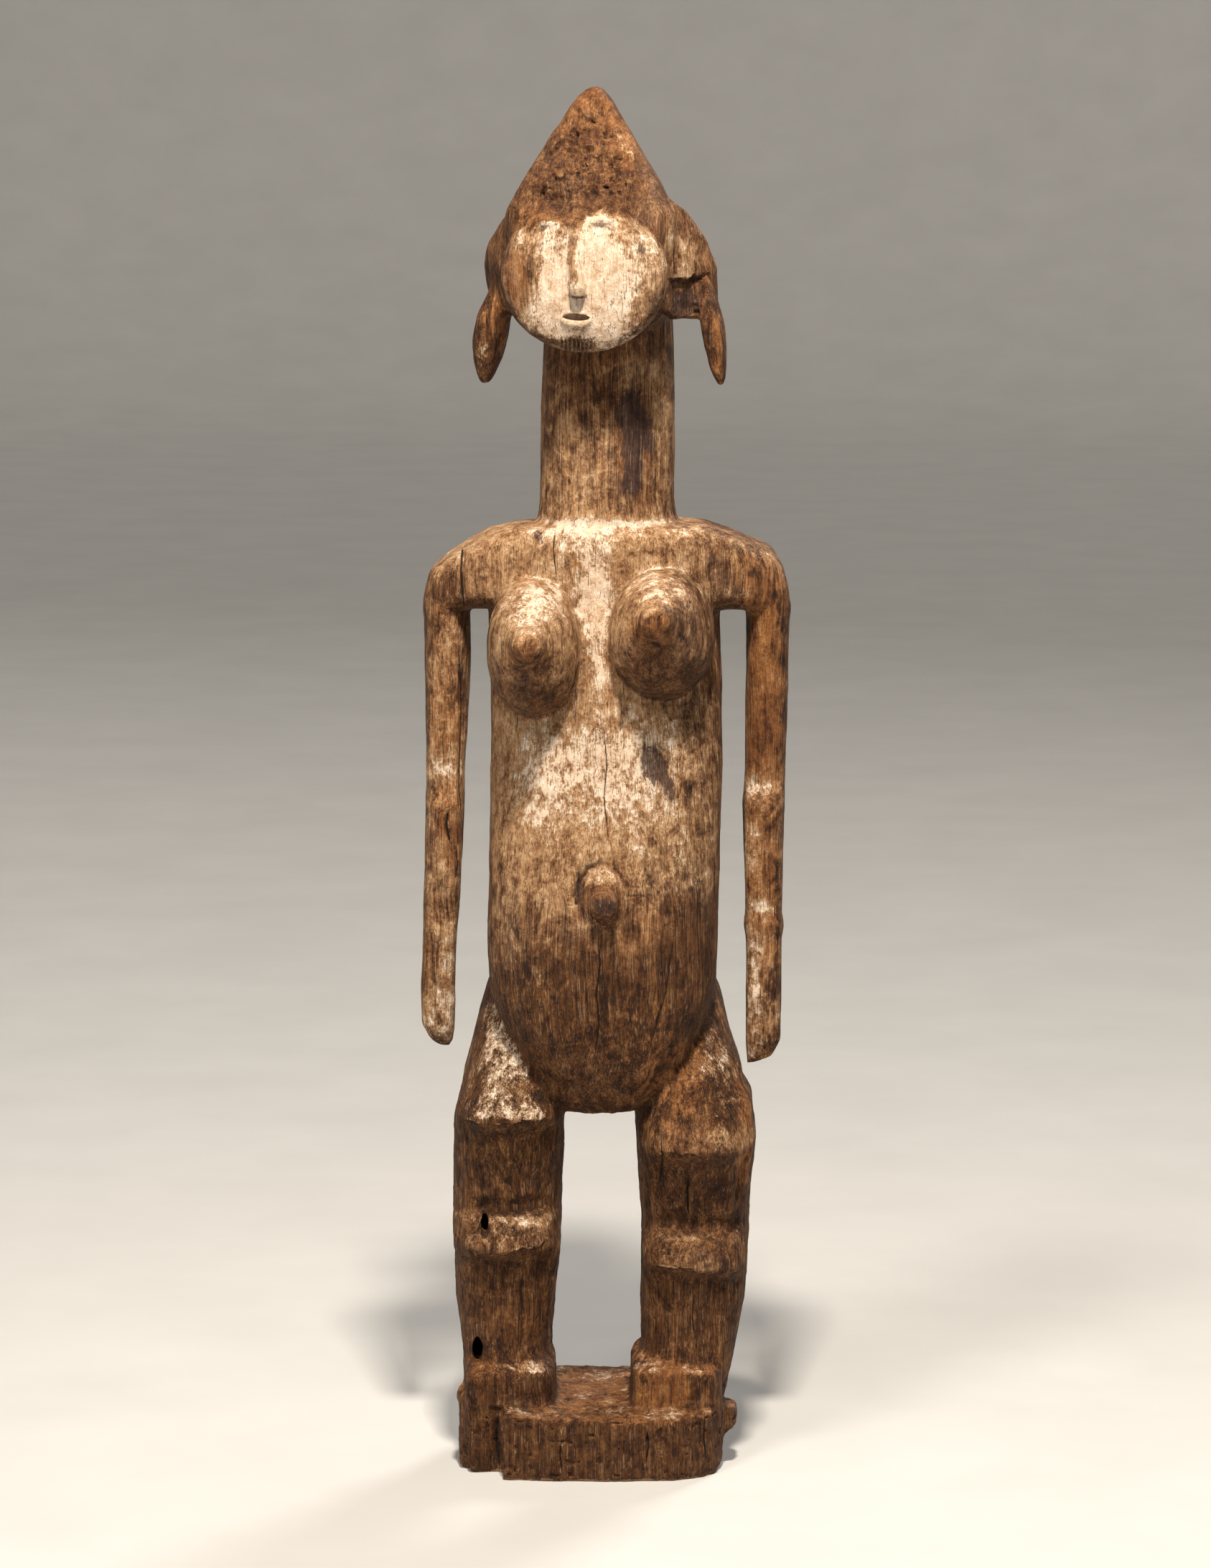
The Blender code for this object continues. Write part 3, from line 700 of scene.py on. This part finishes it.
def paint(carving):
    """Keeps on each point what the wood's finish there depends on, and the highlight and shade
    painted into it.
    """
    mesh = carving.data
    points, normals = read_points(mesh), read_normals(mesh)
    surface = Surface(points, normals)
    broad = fractal(points, (60, 60, 90), 201)
    behind = ramp(normals[:, 1], 0, 0.6)
    x, y, z = points.T
    # Surfaces facing up: a painted highlight, paler and near the base warmer, as if lit from above
    top_highlight = ramp(normals[:, 2], 0.3, 0.8) * (1 - ramp(z, 880, 920))
    beyond_belly = ramp(np.abs(x) - 35 - 0.5 * np.clip(z - 261, 0, 95), -1, 5)
    left, right = (1 - ramp(x, -42, -30)) * beyond_belly, ramp(x, 30, 42) * beyond_belly
    thighs = left * band(z, 264, 352, 3) + 0.7 * right * band(z, 238, 345, 5)
    knees = left * band(z, 163, 190, 3) + right * band(z, 150, 177, 3)
    pale = 0.1 + placed(surface, PALE_PLACES) - placed(surface, BARE_AND_SHADOW_PLACES) + 0.2 * top_highlight
    middle = front_spot(points, (-10, 862), (40, 36))
    coated = 0.2 * broad + 0.08 * behind * (1 - surface.legs) - 0.45 * surface.forehead
    pale += coated + surface.face * (0.36 + 0.46 * middle)
    chest = 0.12 * surface.trunk * surface.front * ramp(z, 330, 480)
    pale += chest - 0.2 * surface.head * (1 - surface.face)
    pale += 0.3 * top_highlight * (1 - ramp(z, 80, 100))
    ledges = surface.front * (0.45 * thighs + 0.34 * knees)
    pale += ledges - 0.22 * surface.legs - 0.25 * surface.base
    # Surfaces facing down: painted shade, deeper brown and less pale as if under the light from
    # above
    low = 1 - ramp(normals[:, 2], -0.75, -0.2)
    # The ear pendants: darker brown wood with painted shade, deeper and less pale
    lobes_dark_and_shaded = ramp(np.abs(x), 62, 70) * band(z, 785, 866, 12)
    deep = surface.legs * (1 - 0.9 * thighs - 0.4 * knees) + surface.base + 0.7 * low + 0.9 * lobes_dark_and_shaded
    # The lower belly darker, and its right side darker as painted shade on the side turned from the
    # light
    belly_and_right_shade = surface.trunk * (1.1 * (1 - ramp(z, 340, 450)) + 0.5 * ramp(x, 20, 60))
    deep += belly_and_right_shade + 0.2 * surface.neck
    # The arms darker, the right arm more so as painted shade
    arms = 0.35 * surface.arms + 0.35 * ramp(x, 90, 110) * surface.arms
    deep += arms + 0.45 * surface.head - 0.35 * behind
    deep = np.clip(deep + 0.25 * fractal(points, (25, 25, 60), 231), 0, 1)
    patchy = (0.4 * surface.base + 0.35 * surface.legs) * fractal(points, (16, 16, 24), 241)
    pale += patchy - 0.25 * low - 0.3 * lobes_dark_and_shaded
    stain_and_shade = placed(surface, STAIN_AND_SHADE_PLACES) + 0.14 * fractal(points, (30, 30, 50), 211)
    warm = placed(surface, WARM_PLACES) + 0.3 * fractal(points, (35, 35, 80), 221)
    warm += 0.35 * top_highlight * (1 - ramp(z, 90, 120))
    streak = front_spot(points, (13, 958), (5, 9))
    comb = band(x, STROKES_LEFT + 1, STROKES_RIGHT - 1, 0.7)
    comb = comb * band(z, CHIN + 1.5, CHIN + 9.5, 1.5) * surface.front
    side, near = crack_lines(surface)
    values = {
        "pale": pale,
        "deep": deep,
        "stain_and_shade": stain_and_shade,
        "warm": warm,
        "fine_hollow": hollowness(carving, 4, 1.3) * (1 - 0.45 * surface.face),
        "broad_hollow": hollowness(carving, 40, 6.0),
        "rot": np.clip(surface.forehead + 0.25 * surface.base - 0.9 * streak, 0, 1),
        "comb": comb,
        "crack_side": side,
        "crack_near": near,
    }
    for name, value in values.items():
        keep_value(mesh, name, value)


class Tree:
    """A material's nodes, made from the surface's own coordinates in millimetres."""

    def __init__(self, material):
        material.use_nodes = True
        self.tree = material.node_tree
        self.shader = self.tree.nodes["Principled BSDF"]
        place = self.add("ShaderNodeTexCoord").outputs["Object"]
        self.place = self.vector("SCALE", place, Scale=1 / MM)

    def add(self, kind, inputs=(), **settings):
        """A new node; each input is a value or another node's output."""
        made = self.tree.nodes.new(kind)
        for name, value in settings.items():
            setattr(made, name, value)
        for name, value in dict(inputs).items():
            self.put(made.inputs[name], value)
        return made

    def put(self, socket, value):
        """Links the socket to another node's output, or gives it a plain value."""
        if isinstance(value, bpy.types.NodeSocket):
            self.tree.links.new(value, socket)
        else:
            socket.default_value = value

    def value(self, name):
        """What paint kept on the points under this name."""
        return self.add("ShaderNodeAttribute", attribute_name=name).outputs["Fac"]

    def maths(self, operation, *values):
        """One sum on these numbers."""
        made = self.add("ShaderNodeMath", operation=operation)
        for socket, value in zip(made.inputs, values):
            self.put(socket, value)
        return made.outputs[0]

    def vector(self, operation, *values, **named):
        """The same on vectors, with any further inputs by name."""
        made = self.add("ShaderNodeVectorMath", named, operation=operation)
        for socket, value in zip(made.inputs, values):
            self.put(socket, value)
        return made.outputs["Vector"]

    def total(self, *terms):
        """The sum of (value, weight) pairs."""
        result = 0.0
        for value, weight in terms:
            result = self.maths("MULTIPLY_ADD", value, weight, result)
        return result

    def noise(self, size, detail=4, roughness=0.55, twist=0, place=None):
        """Noise about 0.5, with features of this width and height in millimetres."""
        wide, tall = size
        where = self.vector("MULTIPLY", place or self.place, (1 / wide, 1 / wide, 1 / tall))
        settings = {"Vector": where, "Scale": 1, "Detail": detail, "Roughness": roughness}
        settings["Distortion"] = twist
        return self.add("ShaderNodeTexNoise", settings).outputs["Fac"]

    def rise(self, value, start, end, low=0.0, high=1.0):
        """From low at start to high at end, with a smooth change between them."""
        inputs = {"Value": value, "From Min": start, "From Max": end, "To Min": low, "To Max": high}
        return self.add("ShaderNodeMapRange", inputs, interpolation_type="SMOOTHSTEP").outputs[0]

    def colours(self, value, *stops):
        """The colour at this value, between stops that are each a value and a colour."""
        made = self.add("ShaderNodeValToRGB", {"Fac": value})
        row = made.color_ramp.elements
        while len(row) < len(stops):
            row.new(0.5)
        for element, (place, colour) in zip(row, stops):
            element.position = place
            element.color = (*colour, 1)
        return made.outputs["Color"]

    def mix(self, share, first, second):
        """The first colour with this share of the second."""
        made = self.add("ShaderNodeMix", data_type="RGBA")
        sockets = made.inputs[0], made.inputs[6], made.inputs[7]
        for socket, value in zip(sockets, (share, first, second)):
            self.put(socket, (*value, 1) if isinstance(value, tuple) else value)
        return made.outputs[2]


def make_wood():
    """Dry old wood with open grain, a worn pale coating, dark drips, hollows darkened with dirt and
    painted shade, and cracks.
    """
    material = bpy.data.materials.new("old_wood")
    t = Tree(material)

    # Patterns of several sizes, the grain swaying a little
    sway = t.vector("SUBTRACT", t.noise((45, 90), 2), (0.5, 0.5, 0.5))
    moved = t.vector("ADD", t.place, t.vector("SCALE", sway, Scale=10))
    grain = t.noise((3.4, 80), 5, 0.62, place=moved)
    fibre = t.noise((0.8, 24), 4, 0.62, place=moved)
    fleck = t.noise((1.5, 6), 3, 0.6)
    blotch = t.noise((13, 17), 9, 0.7, 0.6)
    patch = t.noise((40, 70), 7, 0.62, 0.4)
    grit = t.noise((1.8, 2.2), 6, 0.7)
    crust = t.noise((5.5, 6.5), 8, 0.75, 0.5)
    drip = t.noise((8, 24), 8, 0.68, 0.5)

    # Bare wood: brown, deep brown, grey in patches and orange in streaks
    tone = t.total(
        (grain, 0.6), (fibre, 0.55), (blotch, 0.85), (grit, 0.3), (fleck, 0.2), (1.0, -0.76)
    )
    wood = t.colours(
        tone,
        (0.26, (0.02, 0.007, 0.003)),
        (0.38, (0.075, 0.027, 0.01)),
        (0.50, (0.175, 0.075, 0.029)),
        (0.62, (0.31, 0.15, 0.063)),
        (0.78, (0.47, 0.265, 0.125)),
    )
    deep = t.colours(
        tone,
        (0.26, (0.007, 0.002, 0.001)),
        (0.38, (0.028, 0.009, 0.002)),
        (0.50, (0.079, 0.028, 0.0075)),
        (0.62, (0.155, 0.064, 0.02)),
        (0.78, (0.29, 0.145, 0.055)),
    )
    grey = t.colours(
        tone,
        (0.3, (0.05, 0.028, 0.019)),
        (0.55, (0.21, 0.13, 0.084)),
        (0.8, (0.42, 0.3, 0.21)),
    )
    wood = t.mix(t.rise(patch, 0.5, 0.6, 0, 0.45), wood, grey)
    wood = t.mix(t.value("deep"), wood, deep)
    warm = t.total((t.value("warm"), 1.0), (blotch, 1.2), (grain, 0.5))
    orange = t.colours(
        tone,
        (0.3, (0.07, 0.02, 0.007)),
        (0.55, (0.29, 0.115, 0.035)),
        (0.8, (0.54, 0.27, 0.09)),
    )
    wood = t.mix(t.rise(warm, 0.98, 1.3, 0, 0.7), wood, orange)

    # The pale coating: a thin tan film, and thick cream that has flaked
    fine, broad = t.value("fine_hollow"), t.value("broad_hollow")
    spread = t.total(
        (blotch, 1.5),
        (patch, 1.2),
        (fibre, 1.0),
        (grain, 0.7),
        (crust, 1.3),
        (grit, 0.5),
        (1.0, -3.1),
    )
    pale = t.total((t.value("pale"), 1.0), (fine, -0.3), (1.0, 0.15))
    film = t.rise(t.total((pale, 1.0), (spread, 0.7), (t.value("deep"), -0.45)), -0.1, 0.5, 0, 0.84)
    thick = t.rise(t.total((pale, 1.0), (spread, 0.85)), 0.55, 0.84, 0, 0.88)
    flake = t.noise((3.6, 4.6), 10, 0.8, 0.4)
    flake = t.rise(t.total((flake, 1.0), (pale, 0.16)), 0.66, 0.69, 0, 0.7)
    thick = t.maths("MAXIMUM", thick, t.maths("MULTIPLY", flake, t.rise(pale, 0.0, 0.35)))
    mottle = t.total((crust, 0.7), (fibre, 0.3), (blotch, 0.6), (grit, 0.3), (1.0, -0.45))
    tan = t.colours(
        mottle,
        (0.34, (0.16, 0.07, 0.027)),
        (0.45, (0.33, 0.172, 0.077)),
        (0.56, (0.5, 0.305, 0.155)),
        (0.70, (0.64, 0.44, 0.26)),
    )
    cream = t.colours(
        mottle,
        (0.34, (0.41, 0.265, 0.165)),
        (0.45, (0.59, 0.43, 0.3)),
        (0.56, (0.72, 0.585, 0.46)),
        (0.70, (0.83, 0.74, 0.635)),
    )
    colour = t.mix(thick, t.mix(film, wood, tan), cream)

    # Dark drips, and painted shade under the nose, under the right breast and in the right ear's
    # recess
    stain_and_shade = t.total(
        (t.value("stain_and_shade"), 1.0), (drip, 2.0), (grain, 0.6), (crust, 1.0), (grit, 0.8), (1.0, -2.2)
    )
    stained_and_shaded = t.rise(stain_and_shade, 0.46, 0.64, 0, 0.88)
    dark = t.colours(
        tone,
        (0.3, (0.016, 0.008, 0.007)),
        (0.55, (0.055, 0.027, 0.022)),
        (0.8, (0.13, 0.067, 0.05)),
    )
    colour = t.mix(stained_and_shaded, colour, dark)

    # Rotten wood
    rotten = t.colours(
        crust,
        (0.38, (0.013, 0.004, 0.002)),
        (0.5, (0.09, 0.032, 0.012)),
        (0.64, (0.31, 0.155, 0.06)),
    )
    colour = t.mix(t.maths("MULTIPLY", t.value("rot"), 0.8), colour, rotten)

    # Flecks, hair-thin lines, the chin strokes' dark bottoms, hollows darkened with dirt and
    # painted shade, and worn edges
    flecks = t.rise(t.total((fleck, 1.0), (blotch, 0.35), (grit, 0.25)), 0.93, 1.03, 0, 0.7)
    colour = t.mix(flecks, colour, (0.05, 0.024, 0.012))
    hair = t.noise((0.9, 40), 3, 0.6, 0.4, place=moved)
    dark_hair = t.rise(t.total((hair, 1.0), (blotch, 0.35)), 0.79, 0.85, 0, 0.75)
    pale_hair = t.rise(t.total((hair, 1.0), (blotch, -0.3)), 0.27, 0.2, 0, 0.2)
    colour = t.mix(dark_hair, colour, (0.04, 0.018, 0.009))
    colour = t.mix(pale_hair, colour, (0.66, 0.46, 0.28))
    across = t.add("ShaderNodeSeparateXYZ", {"Vector": t.place}).outputs["X"]
    strokes = t.maths("SINE", t.total((across, STROKE_TURN), (grit, 3.0)))
    strokes = t.maths("MULTIPLY", t.rise(strokes, -0.5, 0.3, 0.85, 0), t.value("comb"))
    colour = t.mix(strokes, colour, (0.06, 0.03, 0.015))
    # Hollows darkened: partly dirt, partly painted shade where light reaches less
    grime_and_shade = t.total((fine, 0.85), (broad, 0.35), (grit, 0.45))
    colour = t.mix(t.rise(grime_and_shade, 0.9, 1.2, 0, 0.85), colour, (0.035, 0.016, 0.008))
    worn = t.rise(t.total((fine, 1.0), (crust, 0.4)), 0.46, 0.26, 0, 0.5)
    rubbed = t.colours(fibre, (0.35, (0.34, 0.2, 0.11)), (0.65, (0.6, 0.43, 0.27)))
    colour = t.mix(worn, colour, rubbed)

    # Cracks, with a wavering middle line
    side = t.total((t.value("crack_side"), 1.0), (grit, 1.6), (crust, 1.6), (1.6, -1.0))
    inside = t.rise(t.maths("ABSOLUTE", side), 0.5, 0.95, 0.95, 0)
    split = t.maths("MULTIPLY", inside, t.rise(t.value("crack_near"), 0.4, 0.6))
    colour = t.mix(split, colour, (0.01, 0.006, 0.004))

    # Relief too fine for the mesh, with less grain where the coating is thick
    bare = t.maths("SUBTRACT", 1.3, thick)
    height = t.total(
        (t.maths("MULTIPLY", grain, bare), 0.9),
        (t.maths("MULTIPLY", fibre, bare), 0.6),
        (fleck, 0.3),
        (crust, 0.9),
        (grit, 0.6),
        (thick, 0.35),
        (flecks, -0.5),
        (strokes, -0.7),
        (split, -1.2),
    )
    bump = t.add("ShaderNodeBump", {"Height": height, "Distance": 0.0015, "Strength": 0.95})
    t.put(t.shader.inputs["Normal"], bump.outputs["Normal"])
    t.put(t.shader.inputs["Base Color"], colour)
    roughness = t.total((crust, 0.3), (thick, 0.1), (stained_and_shaded, -0.15), (0.56, 1.0))
    t.put(t.shader.inputs["Roughness"], roughness)
    t.put(t.shader.inputs["Specular IOR Level"], 0.22)
    return material


def aim(thing, place, target):
    """Puts a light or the camera at a place and turns it to look at the target."""
    thing.location = place
    thing.rotation_euler = (Vector(target) - Vector(place)).to_track_quat("-Z", "Y").to_euler()


def make_light(name, azimuth, elevation, power, colour, size):
    """A soft light on the figure; azimuth 0 is its front, and no size makes it a sun."""
    light = bpy.data.lights.new(name, "AREA" if size else "SUN")
    light.energy, light.color = power, colour
    if size:
        light.size = size
    else:
        light.angle = math.radians(SUN_ANGLE)
    thing = bpy.data.objects.new(name, light)
    bpy.context.scene.collection.objects.link(thing)
    turn, lift = math.radians(azimuth), math.radians(elevation)
    level = math.cos(lift)
    away = Vector((math.sin(turn) * level, -math.cos(turn) * level, math.sin(lift)))
    target = Vector(LIGHT_TARGET)
    aim(thing, target + LIGHT_DISTANCE * away, target)


def make_room():
    """A round pale floor that curves up into a low wall far from the figure."""
    profile = [(FLOOR_RADIUS * n / 3, 0) for n in range(4)]
    for turn in np.linspace(0.1, math.pi / 2, 12):
        out, up = WALL_CURVE * math.sin(turn), WALL_CURVE * math.cos(turn)
        profile.append((FLOOR_RADIUS + out, WALL_CURVE - up))
    profile.append((FLOOR_RADIUS + WALL_CURVE, WALL_TOP))
    points, faces = [], []
    for radius, height in profile:
        for n in range(FLOOR_SIDES):
            turn = 2 * math.pi * n / FLOOR_SIDES
            points.append((radius * math.cos(turn), radius * math.sin(turn), height))
    for row in range(len(profile) - 1):
        for n in range(FLOOR_SIDES):
            a, b = row * FLOOR_SIDES + n, row * FLOOR_SIDES + (n + 1) % FLOOR_SIDES
            faces.append((a, b, b + FLOOR_SIDES, a + FLOOR_SIDES))
    mesh = bpy.data.meshes.new("floor")
    mesh.from_pydata(points, [], faces)
    for face in mesh.polygons:
        face.use_smooth = True
    floor = bpy.data.objects.new("floor", mesh)
    bpy.context.scene.collection.objects.link(floor)
    material = bpy.data.materials.new("pale_floor")
    t = Tree(material)
    cloudy = t.noise((160, 160), 5)
    shade = t.colours(cloudy, (0.3, (0.53, 0.525, 0.515)), (0.7, (0.57, 0.565, 0.555)))
    t.put(t.shader.inputs["Base Color"], shade)
    t.put(t.shader.inputs["Roughness"], 0.8)
    mesh.materials.append(material)


def make_studio():
    """The room, a dim sky and the lights."""
    make_room()
    world = bpy.data.worlds.new("studio")
    world.use_nodes = True
    background = world.node_tree.nodes["Background"]
    background.inputs["Color"].default_value = (*SKY_COLOUR, 1)
    background.inputs["Strength"].default_value = SKY_STRENGTH
    bpy.context.scene.world = world
    for light in LIGHTS:
        make_light(*light)
    bpy.context.scene.view_settings.view_transform = "Standard"


def make_camera():
    """The photograph's camera, in front of the figure at the height of its head."""
    camera = bpy.data.cameras.new("camera")
    camera.lens, camera.sensor_width = CAMERA_LENS, CAMERA_SENSOR
    thing = bpy.data.objects.new("camera", camera)
    bpy.context.scene.collection.objects.link(thing)
    aim(thing, CAMERA_PLACE, CAMERA_TARGET)
    bpy.context.scene.camera = thing


def main():
    """Makes the scene round the CAD object, keeping the carving inside the solid's box."""
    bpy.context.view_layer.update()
    carving = make_carving()
    paint(carving)
    carving.data.materials.clear()
    carving.data.materials.append(make_wood())
    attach(carving, "root")
    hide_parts("figure")
    make_studio()
    make_camera()
    bpy.context.view_layer.update()


main()
